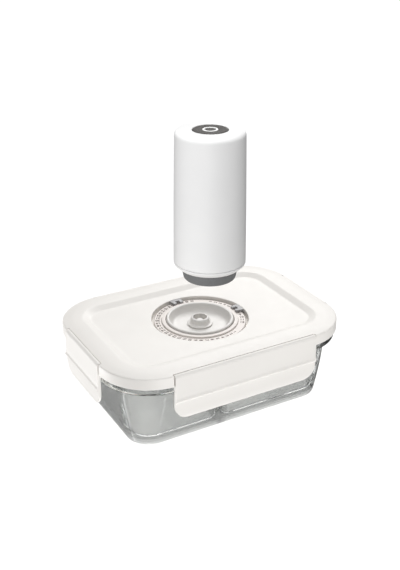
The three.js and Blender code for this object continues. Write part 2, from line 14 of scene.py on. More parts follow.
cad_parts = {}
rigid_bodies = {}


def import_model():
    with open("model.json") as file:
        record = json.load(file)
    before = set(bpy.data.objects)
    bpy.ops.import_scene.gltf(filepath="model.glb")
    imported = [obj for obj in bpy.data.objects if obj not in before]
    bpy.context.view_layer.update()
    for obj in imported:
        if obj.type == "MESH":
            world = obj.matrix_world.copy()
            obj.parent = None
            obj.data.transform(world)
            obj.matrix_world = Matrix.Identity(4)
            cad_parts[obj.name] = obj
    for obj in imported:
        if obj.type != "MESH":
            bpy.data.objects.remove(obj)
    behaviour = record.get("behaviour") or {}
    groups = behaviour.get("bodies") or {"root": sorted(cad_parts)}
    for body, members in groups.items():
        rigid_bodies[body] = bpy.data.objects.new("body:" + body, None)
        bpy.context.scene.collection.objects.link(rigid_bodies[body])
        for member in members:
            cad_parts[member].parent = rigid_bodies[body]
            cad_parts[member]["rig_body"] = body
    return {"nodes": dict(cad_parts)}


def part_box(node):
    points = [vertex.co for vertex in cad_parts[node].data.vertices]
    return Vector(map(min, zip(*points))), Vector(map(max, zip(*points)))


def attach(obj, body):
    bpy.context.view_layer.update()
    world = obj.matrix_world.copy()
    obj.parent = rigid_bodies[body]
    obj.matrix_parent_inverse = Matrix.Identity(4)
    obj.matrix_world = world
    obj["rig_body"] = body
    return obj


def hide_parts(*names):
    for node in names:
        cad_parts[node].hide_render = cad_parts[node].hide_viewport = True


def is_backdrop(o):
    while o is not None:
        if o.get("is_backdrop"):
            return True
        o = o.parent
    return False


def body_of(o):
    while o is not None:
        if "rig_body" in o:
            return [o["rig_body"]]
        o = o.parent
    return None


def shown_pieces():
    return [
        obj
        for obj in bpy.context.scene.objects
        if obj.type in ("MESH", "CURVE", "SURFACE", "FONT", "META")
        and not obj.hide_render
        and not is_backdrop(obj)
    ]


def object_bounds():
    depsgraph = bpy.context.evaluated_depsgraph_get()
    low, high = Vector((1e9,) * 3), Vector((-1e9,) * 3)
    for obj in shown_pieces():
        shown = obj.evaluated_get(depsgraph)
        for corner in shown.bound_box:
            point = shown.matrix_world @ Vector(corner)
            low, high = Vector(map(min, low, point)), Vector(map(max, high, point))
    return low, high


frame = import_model()
cad_low, cad_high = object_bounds()

MM = 0.001
ROUND = 288  # points round a large outline
TURN = 128  # points round a turned piece


class Span:
    """The box of a CAD node, in millimetres."""

    def __init__(self, node):
        low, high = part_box(node)
        self.x0, self.y0, self.z0 = (v / MM for v in low)
        self.x1, self.y1, self.z1 = (v / MM for v in high)
        self.cx = (self.x0 + self.x1) / 2
        self.radius = (self.x1 - self.x0) / 2


GLASS = Span("glass_container")
LID = Span("lid_shell")
DISH = Span("valve_dish")
RING = Span("date_ring")
VALVE = Span("release_valve")
HOUSING = Span("pump_housing")
CAP = Span("base_cap")
NOZZLE = Span("suction_nozzle")
BUTTON = Span("power_button")
LIGHT = Span("button_light_ring")
SOCKET = Span("charging_socket")
PUMP_X = HOUSING.cx
WEB_X = -11.6  # the middle of the glass box's dividing web


# ---------------------------------------------------------------- camera
def heading(azimuth, elevation):
    """The unit vector from the set towards a place round it, from angles in degrees."""
    side, rise = math.radians(azimuth), math.radians(elevation)
    return Vector((
        math.sin(side) * math.cos(rise),
        -math.cos(side) * math.cos(rise),
        math.sin(rise),
    ))


def make_camera():
    """A long lens in front of the set, a little to its left and above it."""
    azimuth, elevation, distance = -29.4, 25.5, 0.6908
    data = bpy.data.cameras.new("camera")
    data.lens = 56.84
    data.sensor_width = 36
    camera = bpy.data.objects.new("camera", data)
    bpy.context.collection.objects.link(camera)
    back = heading(azimuth, elevation)
    aim = Vector((-0.0016, -0.0029, 0.09305))
    camera.location = aim + back * distance
    camera.rotation_mode = "QUATERNION"
    camera.rotation_quaternion = (-back).to_track_quat("-Z", "Y")
    bpy.context.scene.camera = camera


make_camera()


# ---------------------------------------------------------------- curves and outlines
def eased(points, closed=False, steps=5):
    """A path through points, each (coordinates..., radius), with its corners rounded by about that radius."""
    coords = [np.array(p[:-1], float) for p in points]
    radii = [p[-1] for p in points]
    path = []
    for i, (point, radius) in enumerate(zip(coords, radii)):
        at_end = not closed and i in (0, len(coords) - 1)
        if at_end or radius == 0:
            path.append(point)
            continue
        before, after = coords[i - 1], coords[(i + 1) % len(coords)]
        start = toward(point, before, radius)
        end = toward(point, after, radius)
        for step in range(steps + 1):
            t = step / steps
            path.append(start * (1 - t) ** 2 + point * 2 * t * (1 - t) + end * t * t)
    return path


def toward(point, other, distance):
    leg = other - point
    return point + leg * min(distance, 0.5 * np.linalg.norm(leg)) / np.linalg.norm(leg)


def reach(angle, half_x, half_y, corner):
    """How far a rectangle with rounded corners reaches from its centre in one direction."""
    c, s = abs(math.cos(angle)), abs(math.sin(angle))
    straight = min(half_x / max(c, 1e-9), half_y / max(s, 1e-9))
    kx, ky = half_x - corner, half_y - corner
    x, y = straight * c, straight * s
    if x <= kx or y <= ky:
        return straight
    along = kx * c + ky * s
    return along + math.sqrt(max(along * along - (kx * kx + ky * ky - corner * corner), 0))


def outline(half_x, half_y, corner, z, centre_x=0.0, count=ROUND):
    """Points round a rectangle with rounded corners, evenly spaced in angle."""
    points = []
    for i in range(count):
        angle = 2 * math.pi * i / count
        r = reach(angle, half_x, half_y, corner)
        points.append(Vector((centre_x + r * math.cos(angle), r * math.sin(angle), z)))
    return points


def circle(radius, z, centre_x=0.0, count=ROUND, centre_y=0.0):
    """Points round a level circle."""
    turn = [2 * math.pi * i / count for i in range(count)]
    return [Vector((centre_x + radius * math.cos(a), centre_y + radius * math.sin(a), z)) for a in turn]


# ---------------------------------------------------------------- meshes
def add_ring(bm, points):
    return [bm.verts.new(p) for p in points]


def bridge(bm, low, high):
    count = len(low)
    for i in range(count):
        j = (i + 1) % count
        bm.faces.new((low[i], low[j], high[j], high[i]))


def skin(rings, closed=False):
    """A mesh through a stack of rings. It closes on itself, or gets a cap at each end."""
    bm = bmesh.new()
    loops = [add_ring(bm, ring) for ring in rings]
    for low, high in zip(loops, loops[1:]):
        bridge(bm, low, high)
    if closed:
        bridge(bm, loops[-1], loops[0])
    else:
        bm.faces.new(list(reversed(loops[0])))
        bm.faces.new(loops[-1])
    bmesh.ops.recalc_face_normals(bm, faces=bm.faces)
    return bm


def turned(profile, closed=True, x=0.0, y=0.0, count=TURN):
    """A turned piece from (radius, height) points.

    A profile that isn't closed starts and ends near its axis.
    """
    rings = [circle(max(r, 0.01), z, x, count, y) for r, z in profile]
    return skin(rings, closed=closed)


def box_mesh(low, high, bevel):
    """A box with its edges rounded."""
    bm = bmesh.new()
    bmesh.ops.create_cube(bm, size=1)
    size = Vector(high) - Vector(low)
    middle = (Vector(high) + Vector(low)) / 2
    bmesh.ops.scale(bm, vec=size, verts=bm.verts)
    bmesh.ops.translate(bm, vec=middle, verts=bm.verts)
    bmesh.ops.bevel(bm, geom=list(bm.edges), offset=bevel, segments=3, affect="EDGES", profile=0.5)
    return bm


def slot_mesh(width, height, depth, place, radius):
    """A rounded slot's solid, drawn in X and Z and running along Y."""
    bm = skin([outline(width / 2, height / 2, radius, z, count=64) for z in (-depth / 2, depth / 2)])
    turn = Matrix.Translation(Vector(place)) @ Matrix.Rotation(math.pi / 2, 4, "X")
    bmesh.ops.transform(bm, matrix=turn, verts=bm.verts)
    bmesh.ops.recalc_face_normals(bm, faces=bm.faces)
    return bm


def as_object(name, bm):
    """The mesh, taken from millimetres to metres, as an object in the scene."""
    bmesh.ops.scale(bm, vec=(MM, MM, MM), verts=bm.verts)
    mesh = bpy.data.meshes.new(name)
    bm.to_mesh(mesh)
    bm.free()
    obj = bpy.data.objects.new(name, mesh)
    bpy.context.collection.objects.link(obj)
    return obj


def merged(meshes):
    """Several meshes as one, without joining their surfaces."""
    whole = bmesh.new()
    for bm in meshes:
        part = bpy.data.meshes.new("part")
        bm.to_mesh(part)
        bm.free()
        whole.from_mesh(part)
        bpy.data.meshes.remove(part)
    return whole


def carved(obj, cutters):
    """obj with each cutter's solid taken out of it."""
    for cutter in cutters:
        tool = as_object("tool", cutter)
        modifier = obj.modifiers.new("cut", "BOOLEAN")
        modifier.object = tool
        modifier.solver = "EXACT"
        bake_modifiers(obj)
        bpy.data.objects.remove(tool)
    return obj


def bake_modifiers(obj):
    graph = bpy.context.evaluated_depsgraph_get()
    mesh = bpy.data.meshes.new_from_object(obj.evaluated_get(graph))
    obj.modifiers.clear()
    obj.data = mesh


def bevelled(obj, width, angle=40, segments=3):
    """obj with its edges sharper than the angle rounded."""
    modifier = obj.modifiers.new("bevel", "BEVEL")
    modifier.width = width * MM
    modifier.segments = segments
    modifier.limit_method = "ANGLE"
    modifier.angle_limit = math.radians(angle)
    modifier.use_clamp_overlap = True
    bake_modifiers(obj)
    return obj


def smoothed(obj, angle=35):
    """Smooth shading, broken at edges sharper than the angle."""
    obj.data.shade_smooth()
    obj.data.set_sharp_from_angle(angle=math.radians(angle))
    return obj


def place(obj, body, slot, material, *nodes):
    """The last steps for every piece: its finish, its body and the CAD nodes that it stands for. The slot is
    not used.
    """
    obj.data.materials.clear()
    obj.data.materials.append(material)
    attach(obj, body)
    if nodes:
        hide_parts(*nodes)


# ---------------------------------------------------------------- materials
class Finish:
    """Builds one procedural material, node by node."""

    def __init__(self, name):
        self.material = bpy.data.materials.new(name)
        self.material.use_nodes = True
        self.tree = self.material.node_tree
        self.shader = self.tree.nodes["Principled BSDF"]
        self.coords = self.tree.nodes.new("ShaderNodeTexCoord")

    def set(self, **values):
        for key, value in values.items():
            self.shader.inputs[key.replace("_", " ")].default_value = value

    def noise(self, size_mm, detail=3.0, stretch=None):
        """A noise pattern whose features are about size_mm across."""
        node = self.tree.nodes.new("ShaderNodeTexNoise")
        node.inputs["Scale"].default_value = 1 / (size_mm * MM)
        node.inputs["Detail"].default_value = detail
        source = self.coords.outputs["Object"]
        if stretch:
            mapping = self.tree.nodes.new("ShaderNodeMapping")
            mapping.inputs["Scale"].default_value = stretch
            self.tree.links.new(source, mapping.inputs["Vector"])
            source = mapping.outputs["Vector"]
        self.tree.links.new(source, node.inputs["Vector"])
        return node.outputs["Fac"]

    def spread(self, fac, low, high):
        """fac mapped from its middle range onto low to high."""
        node = self.tree.nodes.new("ShaderNodeMapRange")
        node.inputs["From Min"].default_value = 0.3
        node.inputs["From Max"].default_value = 0.7
        node.inputs["To Min"].default_value = low
        node.inputs["To Max"].default_value = high
        self.tree.links.new(fac, node.inputs["Value"])
        return node.outputs["Result"]

    def colours(self, fac, *stops):
        """A colour ramp, from (position, colour) stops, into the base colour."""
        ramp = self.tree.nodes.new("ShaderNodeValToRGB")
        elements = ramp.color_ramp.elements
        while len(elements) < len(stops):
            elements.new(0.5)
        for element, (position, colour) in zip(elements, stops):
            element.position = position
            element.color = (*colour, 1)
        self.tree.links.new(fac, ramp.inputs["Fac"])
        self.tree.links.new(ramp.outputs["Color"], self.shader.inputs["Base Color"])

    def near(self, axis, middle_mm, full_mm, none_mm, amount):
        """amount within full_mm of a plane across the axis, easing to 1 at none_mm from it."""
        split = self.tree.nodes.new("ShaderNodeSeparateXYZ")
        offset = self.tree.nodes.new("ShaderNodeMath")
        offset.operation = "SUBTRACT"
        offset.inputs[1].default_value = middle_mm * MM
        away = self.tree.nodes.new("ShaderNodeMath")
        away.operation = "ABSOLUTE"
        ease = self.tree.nodes.new("ShaderNodeMapRange")
        ease.inputs["From Min"].default_value = full_mm * MM
        ease.inputs["From Max"].default_value = none_mm * MM
        ease.inputs["To Min"].default_value = amount
        ease.inputs["To Max"].default_value = 1
        self.tree.links.new(self.coords.outputs["Object"], split.inputs["Vector"])
        self.tree.links.new(split.outputs[axis], offset.inputs[0])
        self.tree.links.new(offset.outputs["Value"], away.inputs[0])
        self.tree.links.new(away.outputs["Value"], ease.inputs["Value"])
        return ease.outputs["Result"]

    def darkened(self, factor):
        """Multiplies the base colour by a factor that varies over the surface."""
        base = self.shader.inputs["Base Color"]
        product = self.tree.nodes.new("ShaderNodeVectorMath")
        product.operation = "MULTIPLY"
        self.tree.links.new(base.links[0].from_socket, product.inputs[0])
        self.tree.links.new(factor, product.inputs[1])
        self.tree.links.new(product.outputs["Vector"], base)

    def roughness(self, fac):
        self.tree.links.new(fac, self.shader.inputs["Roughness"])

    def bump(self, fac, height_mm, strength=1.0):
        node = self.tree.nodes.new("ShaderNodeBump")
        node.inputs["Distance"].default_value = height_mm * MM
        node.inputs["Strength"].default_value = strength
        self.tree.links.new(fac, node.inputs["Height"])
        previous = self.shader.inputs["Normal"].links
        if previous:
            self.tree.links.new(previous[0].from_socket, node.inputs["Normal"])
        self.tree.links.new(node.outputs["Normal"], self.shader.inputs["Normal"])


def tint(colour, factor):
    return tuple(min(1.0, c * factor) for c in colour)


def moulded(name, colour, rough=0.42, texture_mm=0.25, height_mm=0.004, mottle=0.012, specular=0.5):
    """Moulded plastic: a spark-eroded texture, a slow drift in tone and a slightly uneven gloss."""
    finish = Finish(name)
    drift = finish.noise(30, detail=2)
    finish.colours(drift, (0.3, tint(colour, 1 - mottle)), (0.7, tint(colour, 1 + mottle)))
    finish.roughness(finish.spread(finish.noise(6, detail=4), rough - 0.04, rough + 0.04))
    finish.bump(finish.noise(texture_mm, detail=2), height_mm)
    finish.set(Specular_IOR_Level=specular)
    return finish.material


def rubber(name, colour):
    """Matt rubber with a dusting of paler specks."""
    finish = Finish(name)
    dust = finish.noise(1.2, detail=6)
    finish.colours(dust, (0.3, tint(colour, 0.94)), (0.72, tint(colour, 1.08)))
    finish.roughness(finish.spread(finish.noise(3, detail=4), 0.56, 0.7))
    finish.bump(finish.noise(0.18, detail=3), 0.006)
    return finish.material


def silicone(name, colour):
    """Soft white silicone that lets a little light in."""
    finish = Finish(name)
    drift = finish.noise(8, detail=2)
    finish.colours(drift, (0.3, tint(colour, 0.97)), (0.7, tint(colour, 1.02)))
    finish.roughness(finish.spread(finish.noise(2, detail=3), 0.5, 0.62))
    finish.bump(finish.noise(0.3, detail=2), 0.003)
    finish.set(Subsurface_Weight=0.15, Subsurface_Scale=0.002)
    return finish.material


def pressed_glass(name):
    """Clear pressed glass, greyer where it is seen edge on and through the thick web, with painted shade on
    its foot and its mould's faint waviness.
    """
    finish = Finish(name)
    finish.set(Transmission_Weight=1.0, IOR=1.1, Coat_Weight=0.8, Coat_Roughness=0.02, Coat_IOR=1.5)
    edge = finish.tree.nodes.new("ShaderNodeLayerWeight")
    edge.inputs["Blend"].default_value = 0.35
    finish.colours(edge.outputs["Facing"], (0.1, (0.93, 0.935, 0.93)), (0.9, (0.36, 0.365, 0.36)))
    for shaded_foot_z in (2.75, 6.4):  # painted shade: the foot's skin, below and above the floor, darkened for the shaded floor under the box
        finish.darkened(finish.near("Z", shaded_foot_z, 1.2, 1.7, 0.66))
    finish.darkened(finish.near("X", WEB_X, 2.5, 3.4, 0.72))  # the web, seen through its own length
    finish.roughness(finish.spread(finish.noise(9, detail=2), 0.0, 0.012))
    finish.bump(finish.noise(22, detail=1), 0.05, 0.35)
    depth = finish.tree.nodes.new("ShaderNodeVolumeAbsorption")
    depth.inputs["Color"].default_value = (0.0, 0.02, 0.01, 1)
    depth.inputs["Density"].default_value = 42
    output = finish.tree.nodes["Material Output"]
    finish.tree.links.new(depth.outputs["Volume"], output.inputs["Volume"])
    return finish.material


def brushed(name, colour, along=(1, 1, 0.03)):
    """Brushed metal, whose fine lines run along the axis with the smallest stretch."""
    finish = Finish(name)
    lines = finish.noise(0.12, detail=4, stretch=along)
    finish.colours(lines, (0.25, tint(colour, 0.82)), (0.75, tint(colour, 1.12)))
    finish.roughness(finish.spread(lines, 0.24, 0.44))
    finish.bump(lines, 0.004, 0.6)
    finish.set(Metallic=1.0)
    return finish.material


def winding(name):
    """Enamelled copper wire, wound in fine parallel turns."""
    finish = Finish(name)
    wave = finish.tree.nodes.new("ShaderNodeTexWave")
    wave.bands_direction = "Z"
    wave.inputs["Scale"].default_value = 700
    wave.inputs["Distortion"].default_value = 0.6
    finish.tree.links.new(finish.coords.outputs["Object"], wave.inputs["Vector"])
    finish.colours(wave.outputs["Fac"], (0.15, (0.2, 0.06, 0.025)), (0.8, (0.72, 0.32, 0.16)))
    finish.bump(wave.outputs["Fac"], 0.1)
    finish.set(Metallic=0.9, Roughness=0.32)
    return finish.material


def solder_mask(name):
    """A green circuit board with its tracks showing through."""
    finish = Finish(name)
    cells = finish.tree.nodes.new("ShaderNodeTexBrick")
    cells.inputs["Scale"].default_value = 320
    cells.inputs["Mortar Size"].default_value = 0.03
    finish.tree.links.new(finish.coords.outputs["Object"], cells.inputs["Vector"])
    finish.colours(cells.outputs["Fac"], (0.2, (0.012, 0.1, 0.045)), (0.8, (0.03, 0.2, 0.09)))
    finish.bump(cells.outputs["Fac"], 0.03)
    finish.set(Roughness=0.3)
    return finish.material


def lit_ring(name):
    """The diffuser of the button's light, unlit, with a faint painted glow."""
    finish = Finish(name)
    haze = finish.noise(1.5, detail=2)
    finish.colours(haze, (0.3, (0.93, 0.93, 0.92)), (0.7, (0.99, 0.99, 0.98)))
    finish.roughness(finish.spread(haze, 0.22, 0.3))
    # a faint painted glow, though the ring's light is off
    finish.set(Emission_Color=(1, 1, 1, 1), Emission_Strength=0.12)
    return finish.material


LID_WHITE = moulded("lid_white", (0.915, 0.89, 0.853), rough=0.45, specular=0.35)
PUMP_WHITE = moulded(
    "pump_white", (0.93, 0.93, 0.93), rough=0.45, texture_mm=0.2, height_mm=0.003, specular=0.25,
)
RING_CREAM = moulded("ring_cream", (0.9, 0.845, 0.805), rough=0.45, specular=0.3)
DISH_WHITE = moulded("dish_white", (0.81, 0.79, 0.762), rough=0.4, specular=0.4)
CLIP_GREY = moulded("clip_grey", (0.4, 0.395, 0.4), rough=0.42)
BUTTON_GREY = moulded("button_grey", (0.085, 0.08, 0.075), rough=0.5, height_mm=0.006, mottle=0.04)
# the numerals' print, also used for the two painted shade lines round their track
INK_AND_PAINTED_SHADE = moulded("numeral_ink_and_painted_shade", (0.09, 0.06, 0.045), rough=0.5, height_mm=0.001)
FRAME_BLACK = moulded("frame_black", (0.022, 0.022, 0.025), rough=0.45, height_mm=0.01, mottle=0.1)
NOZZLE_GREY = rubber("nozzle_grey", (0.165, 0.17, 0.174))
DIAPHRAGM_GREY = rubber("diaphragm_grey", (0.08, 0.08, 0.085))
SEAL_WHITE = silicone("seal_white", (0.82, 0.82, 0.81))
GLASS_CLEAR = pressed_glass("pressed_glass")
STEEL = brushed("steel", (0.58, 0.59, 0.6))
SOCKET_STEEL = brushed("socket_steel", (0.5, 0.5, 0.51), along=(1, 0.03, 1))
COPPER = winding("copper_winding")
BOARD_GREEN = solder_mask("board_green")
CELL_WRAP = moulded("cell_wrap", (0.03, 0.14, 0.38), rough=0.28, mottle=0.05)
RING_PAINTED_GLOW = lit_ring("ring_painted_glow")


# ---------------------------------------------------------------- glass box
def glass_box():
    """The pressed glass: an outer skin with a foot and a flange, and two hollows beside a web."""
    hx, hy = GLASS.x1, GLASS.y1
    flange = 39.5
    rim, shelf, floor = GLASS.z1, 55.0, 4.6
    # levels from the underside over the rim to the shelf: half x, half y, corner, z, easing
    outer = eased([
        (77.2, 49.0, 13, 0.9, 0),
        (79.4, 51.2, 15, 0.9, 0.6),
        (80.4, 52.2, 16, 0.0, 0.7),
        (82.2, 54.0, 17.8, 0.2, 1.6),
        (84.4, 56.2, 20.5, 10, 6),
        (88.0, 60.0, 26, 30, 8),
        (90.0, 62.0, 30, 46.5, 3),
        (92.6, 64.2, 33, 49.6, 1.5),
        (hx - 0.6, hy - 0.8, flange - 0.9, 50.4, 1.2),
        (hx, hy, flange, 51.2, 0.9),
        (hx, hy, flange, 55.4, 0.8),
        (95.5, 66.7, 36.7, 55.6, 0.6),
        (95.5, 66.7, 36.7, rim, 0.9),
        (87.5, 59.5, 27.5, rim, 1.6),
        (86.2, 58.2, 26.2, shelf, 0.7),
        (85.4, 57.4, 25.4, shelf, 0),
    ])
    bm = bmesh.new()
    rings = [add_ring(bm, outline(*p)) for p in outer]
    for low, high in zip(rings, rings[1:]):
        bridge(bm, low, high)
    bm.faces.new(list(reversed(rings[0])))
    edges = ring_edges(bm, rings[-1])
    for side in (-1, 1):
        hollow = [add_ring(bm, hollow_ring(side, *p)) for p in compartment(side, shelf, floor)]
        for low, high in zip(hollow, hollow[1:]):
            bridge(bm, low, high)
        bm.faces.new(hollow[-1])
        edges += ring_edges(bm, hollow[0])
    bmesh.ops.triangle_fill(bm, edges=edges, use_beauty=True)
    bmesh.ops.recalc_face_normals(bm, faces=bm.faces)
    return smoothed(as_object("glass_box", bm), 30)


def ring_edges(bm, ring):
    pairs = zip(ring, ring[1:] + ring[:1])
    return [bm.edges.get(pair) for pair in pairs]


def hollow_ring(side, half_x, half_y, corner, z, centre_x, count=160):
    """One level of a hollow, whose corners are tighter beside the web."""
    points = []
    for i in range(count):
        angle = 2 * math.pi * i / count
        by_web = side * math.cos(angle) < 0
        r = reach(angle, half_x, half_y, 0.35 * corner if by_web else corner)
        points.append(Vector((centre_x + r * math.cos(angle), r * math.sin(angle), z)))
    return points


def compartment(side, shelf, floor):
    """One hollow from its lip at the shelf down to its floor, as (half x, half y, corner, z, centre x)."""
    half_web = 2.3

    def level(outer_x, half_y, corner, z, lean, ease):
        near = WEB_X + side * (half_web + lean)
        far = side * outer_x
        return (abs(far - near) / 2, half_y, corner, z, (far + near) / 2, ease)

    return eased([
        level(85.2, 57.2, 21, shelf, -0.9, 0),
        level(84.9, 56.9, 21, shelf, 0.0, 1.0),
        level(83.6, 55.6, 19, 30, 0.3, 6),
        level(79.8, 51.8, 15, 7.4, 0.6, 2.0),
        level(77.2, 49.2, 12.5, floor, 2.4, 1.5),
        level(66.0, 38.0, 5, floor, 12.0, 0),
    ])


# ---------------------------------------------------------------- lid
FRONT, RIGHT, BACK, LEFT = 0, 90, 180, 270
LATCHES = [("front_latch", FRONT), ("right_latch", RIGHT), ("back_latch", BACK), ("left_latch", LEFT)]
LATCH_LENGTH = {FRONT: 120, RIGHT: 60, BACK: 120, LEFT: 60}
LID_X, LID_Y, LID_CORNER = 100.0, 71.2, 41.0  # half sizes and corner radius of the lid's face
CEILING, PANEL_Z = 61.3, 63.3  # the underside and the top of the lid's sunk panel
AXIS_IN, AXIS_Z, BEAD = 1.3, 62.6, 2.4  # the latches' hinge line, inside the lid's face, and their bead
LATCH_BOTTOM = 28.5
DIAL_R, DIAL_FLOOR, WELL_WALL = 38.1, 59.2, 1.8
DISH_BODY = 25.2  # the part of the dish that goes through the lid


def lid_shell():
    """The lid: levels from the skirt over the border to the panel, then the dial's recess in rings."""
    hx, hy, corner, top = LID_X, LID_Y, LID_CORNER, LID.z1
    # half x, half y, corner, z, easing
    rect = eased([
        (94.0, 65.2, 35, CEILING, 0),
        (hx - 2, hy - 2, corner - 2, CEILING, 0.8),
        (hx - 2, hy - 2, corner - 2, LID.z0, 0.3),
        (hx, hy, corner, LID.z0, 0.5),
        (hx, hy, corner, 64.5, 0.9),
        (99.0, 70.2, 40.0, 64.95, 0.5),
        (92.0, 63.2, 31.5, 65.75, 4),
        (84.2, 55.4, 22, top, 2.0),
        (82.4, 53.6, 20, 65.7, 0.8),
        (77.0, 48.2, 15, PANEL_Z + 0.1, 1.2),
        (74.5, 45.7, 12.5, PANEL_Z, 0),
    ])
    dial = eased([
        (DIAL_R + 2, PANEL_Z, 0),
        (DIAL_R, PANEL_Z, 0.5),
        (DIAL_R, DIAL_FLOOR - 0.9, 0.4),
        (DIAL_R - 1.7, DIAL_FLOOR - 0.9, 0.3),
        (DIAL_R - 1.8, DIAL_FLOOR, 0.2),
        (DISH_BODY + 0.4, DIAL_FLOOR, 0.3),
        (DISH_BODY + 0.4, DIAL_FLOOR - WELL_WALL, 0.3),
        (DIAL_R + WELL_WALL, DIAL_FLOOR - WELL_WALL, 0.8),
        (DIAL_R + WELL_WALL, CEILING, 0.6),
        (DIAL_R + 4, CEILING, 0),
    ])
    rings = [outline(*p) for p in rect]
    rings += [circle(r, z) for r, z in dial]
    obj = as_object("lid", skin(rings, closed=True))
    cutters = [latch_pocket(LATCH_LENGTH[turn], turn) for _, turn in LATCHES]
    return smoothed(carved(obj, cutters), 28)


def side_matrix(turn):
    """Takes a shape drawn for the front, with u outwards as -Y from the lid's face, to its side."""
    face = LID_Y if turn in (FRONT, BACK) else LID_X
    return Matrix.Rotation(math.radians(turn), 4, "Z") @ Matrix.Translation((0, -face, 0))


def latch_pocket(length, turn):
    """The room that a latch takes in the lid: a channel for its bead and a gap in the skirt."""
    side_gap, bead_gap = 0.6, 0.5
    outside, above, below = 3.5, AXIS_Z + 3.4, LID.z0 - 1  # the cut runs out past the lid
    skirt_u = -2.1
    half = length / 2 + side_gap
    depth = AXIS_IN + BEAD + bead_gap
    profile = eased([
        (outside, below, 0),
        (outside, above, 0),
        (-AXIS_IN - 1.1, above, 0),
        (-AXIS_IN - 1.3, AXIS_Z + 2.0, 0.5),
        (-depth, AXIS_Z + 1.0, 0.9),
        (-depth, AXIS_Z - 1.2, 0.9),
        (skirt_u, AXIS_Z - 2.6, 0.4),
        (skirt_u, below, 0),
    ])
    rings = [[Vector((x, -u, z)) for u, z in profile] for x in (-half, half)]
    bm = skin(rings)
    bmesh.ops.transform(bm, matrix=side_matrix(turn), verts=bm.verts)
    return bm


def lid_gasket():
    """The seal: a flat strip with two lips on its underside."""
    low, high = 59.1, 61.0
    mid = (low + high) / 2
    section = eased([
        (95.0, 66.2, 36.2, low, 0.5),
        (95.0, 66.2, 36.2, high, 0.5),
        (87.5, 58.7, 28.7, high, 0.5),
        (87.5, 58.7, 28.7, low, 0.5),
        (90.2, 61.4, 31.4, low, 0.3),
        (91.2, 62.4, 32.4, mid, 0.3),
        (92.2, 63.4, 33.4, low, 0.3),
    ], closed=True)
    return smoothed(as_object("gasket", skin([outline(*p) for p in section], closed=True)))


# ---------------------------------------------------------------- latches
def latch_edges():
    """The outer and the inner line of a latch's section, from its top to its bottom, as (u, z)."""
    tip = (-0.3, LATCH_BOTTOM)
    proud, ridge, inside = 1.1, 2.4, -1.4
    bead = [(BEAD * math.sin(a), BEAD * math.cos(a)) for a in np.linspace(0, math.pi / 2, 9)]
    outer = [(-AXIS_IN + du, AXIS_Z + dz) for du, dz in bead]
    outer += [tuple(p) for p in eased([
        (proud, 61.3, 0),
        (proud, 53, 5),
        (1.25, 46.5, 0.9),
        (ridge, 44.9, 0.25),
        (ridge - 0.05, 44.1, 0.4),
        (1.2, 42.8, 0.8),
        (0.6, 37.5, 3),
        (0.5, 31.0, 2.2),
        (*tip, 0),
    ], steps=8)]
    inner = [(-AXIS_IN - du, AXIS_Z + dz) for du, dz in bead]
    inner += [tuple(p) for p in eased([
        (-AXIS_IN - BEAD, AXIS_Z - 0.2, 0),
        (-3.4, 60.8, 0.8),
        (inside, 59.4, 0.9),
        (inside, 45, 2),
        (inside, 30.4, 1.6),
        (*tip, 0),
    ], steps=8)]
    return outer, inner


def latch(name, length, turn):
    """A slab in levels from its bead to its lip, with rounded lower corners."""
    outer, inner = latch_edges()
    top, bottom = AXIS_Z + BEAD, LATCH_BOTTOM
    corner, half = 11.0, length / 2
    # the levels are closest round the bead, across the ridge and at the rounded lip
    levels = np.unique(np.concatenate([
        top - BEAD * (1 - np.cos(np.linspace(0, math.pi / 2, 9))),
        np.linspace(AXIS_Z, 60.0, 16),
        np.linspace(60.0, 46.4, 10),
        np.linspace(46.4, 42.0, 22),
        np.linspace(42.0, 32.0, 10),
        bottom + 3.4 * (1 - np.cos(np.linspace(0, math.pi / 2, 12))),
    ]))[::-1]
    u_out = np.interp(levels[::-1], *line_by_height(outer))[::-1]
    u_in = np.interp(levels[::-1], *line_by_height(inner))[::-1]
    bm = bmesh.new()
    rows = []
    for z, u0, u1 in zip(levels, u_out, u_in):
        drop = max(bottom + corner - z, 0)
        reach_x = half - corner + math.sqrt(max(corner * corner - drop * drop, 0))
        xs = np.linspace(-reach_x, reach_x, 25)
        rows.append([[bm.verts.new((x, -u, z)) for x in xs] for u in (u0, u1)])
    for upper, lower in zip(rows, rows[1:]):
        latch_band(bm, upper, lower)
    for front, back in (rows[0], rows[-1]):
        for i in range(len(front) - 1):
            bm.faces.new((front[i], front[i + 1], back[i + 1], back[i]))
    bmesh.ops.remove_doubles(bm, verts=bm.verts, dist=0.004)
    bmesh.ops.recalc_face_normals(bm, faces=bm.faces)
    bmesh.ops.transform(bm, matrix=side_matrix(turn), verts=bm.verts)
    obj = bevelled(as_object(name + "_plate", bm), 0.5, angle=50, segments=4)
    return smoothed(obj, 50)


def line_by_height(line):
    """A section line as rising heights and their distances outwards."""
    ordered = sorted(line, key=lambda p: p[1])
    return [p[1] for p in ordered], [p[0] for p in ordered]


def latch_band(bm, upper, lower):
    (front_a, back_a), (front_b, back_b) = upper, lower
    for i in range(len(front_a) - 1):
        bm.faces.new((front_a[i], front_b[i], front_b[i + 1], front_a[i + 1]))
        bm.faces.new((back_a[i], back_a[i + 1], back_b[i + 1], back_b[i]))
    for i, flip in ((0, False), (-1, True)):
        corners = (front_a[i], back_a[i], back_b[i], front_b[i])
        bm.faces.new(corners if not flip else tuple(reversed(corners)))


